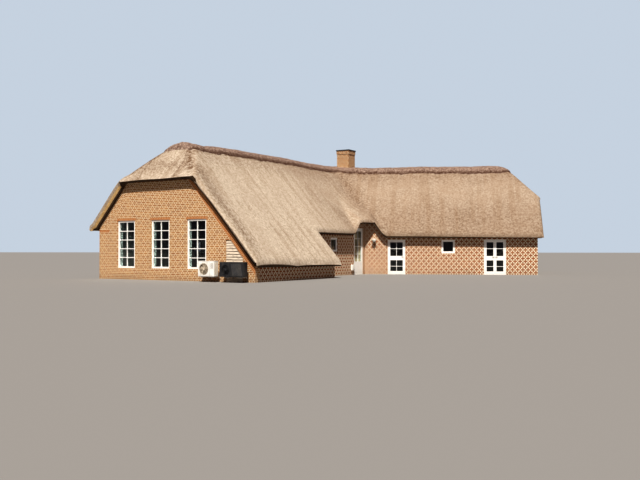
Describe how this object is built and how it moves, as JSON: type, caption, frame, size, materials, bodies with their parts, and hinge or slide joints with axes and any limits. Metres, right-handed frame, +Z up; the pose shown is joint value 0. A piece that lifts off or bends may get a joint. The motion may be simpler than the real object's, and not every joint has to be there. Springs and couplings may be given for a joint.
{
  "type": "thatched cottage",
  "caption": "Single-storey brick cottage with two angled wings, a thatched half-hipped roof with a catslide, a brick chimney, white windows and hinged glazed doors.",
  "frame": {"origin": "on the ground under the point where the two ridges cross, on the underside of the floor slab", "axes": "+X along the east wing ridge towards its end gable, +Z up, -Y towards the terrace side with the doors"},
  "size_m": [23.2255, 21.9217, 7.884],
  "materials": {
    "brick": "fired facing brick with light mortar",
    "thatch": "weathered reed thatch",
    "heather": "packed heather",
    "white_wood": "white painted timber, satin",
    "glass": "clear window glass",
    "concrete": "plain concrete floor",
    "slate": "dark stone slab, matt",
    "lamp": "opal globe, satin",
    "white_steel": "white powder coat",
    "black_steel": "black powder coat"
  },
  "bodies": {
    "house": {"back_wall": "brick", "back_window_frame": "white_wood", "back_window_glass": "glass", "boarded_panel": "white_wood", "chimney_slab": "slate", "chimney_stack": "brick", "corner_wall": "brick", "east_gable_wall": "brick", "entrance_frame": "white_wood", "entrance_lintel": "brick", "entrance_wall": "brick", "floor_slab": "concrete", "french_door_frame": "white_wood", "french_door_lintel": "brick", "front_end_wall": "brick", "front_wall": "brick", "gable_wall": "brick", "gable_window_left_frame": "white_wood", "gable_window_left_glass": "glass", "gable_window_middle_frame": "white_wood", "gable_window_middle_glass": "glass", "gable_window_right_frame": "white_wood", "gable_window_right_glass": "glass", "heat_pump_black": "black_steel", "heat_pump_white": "white_steel", "kitchen_window_frame": "white_wood", "kitchen_window_glass": "glass", "nook_window_frame": "white_wood", "nook_window_glass": "glass", "ridge_cap_east": "heather", "ridge_cap_west": "heather", "service_box": "white_steel", "shed_end_wall": "brick", "shed_wall": "brick", "terrace_door_frame": "white_wood", "terrace_lintel": "brick", "thatch_back_slope": "thatch", "thatch_catslide": "thatch", "thatch_east_half_hip": "thatch", "thatch_entrance_canopy": "thatch", "thatch_front_slope": "thatch", "thatch_nook_slope": "thatch", "thatch_west_half_hip": "thatch", "thatch_west_slope": "thatch", "wall_lamp": "lamp", "west_wall": "brick", "west_window_frame": "white_wood", "west_window_glass": "glass"},
    "entrance_door": {"entrance_door": "white_wood", "entrance_door_glass": "glass"},
    "terrace_door": {"terrace_door": "white_wood", "terrace_door_glass": "glass"},
    "french_door_left": {"french_door_left": "white_wood", "french_door_left_glass": "glass"},
    "french_door_right": {"french_door_right": "white_wood", "french_door_right_glass": "glass"}
  },
  "joints": [
    {"name": "entrance_door_hinge", "type": "hinge", "parent": "house", "child": "entrance_door", "pos_m": [2.63559, -4.41462, 1], "axis": [0, 0, 1], "range_deg": [0, 90]},
    {"name": "terrace_door_hinge", "type": "hinge", "parent": "house", "child": "terrace_door", "pos_m": [4.186, -4.182, 1], "axis": [0, 0, -1], "range_deg": [0, 100]},
    {"name": "french_door_left_hinge", "type": "hinge", "parent": "house", "child": "french_door_left", "pos_m": [9.757, -4.182, 1], "axis": [0, 0, -1], "range_deg": [0, 100]},
    {"name": "french_door_right_hinge", "type": "hinge", "parent": "house", "child": "french_door_right", "pos_m": [10.882, -4.182, 1], "axis": [0, 0, 1], "range_deg": [0, 100]}
  ]
}
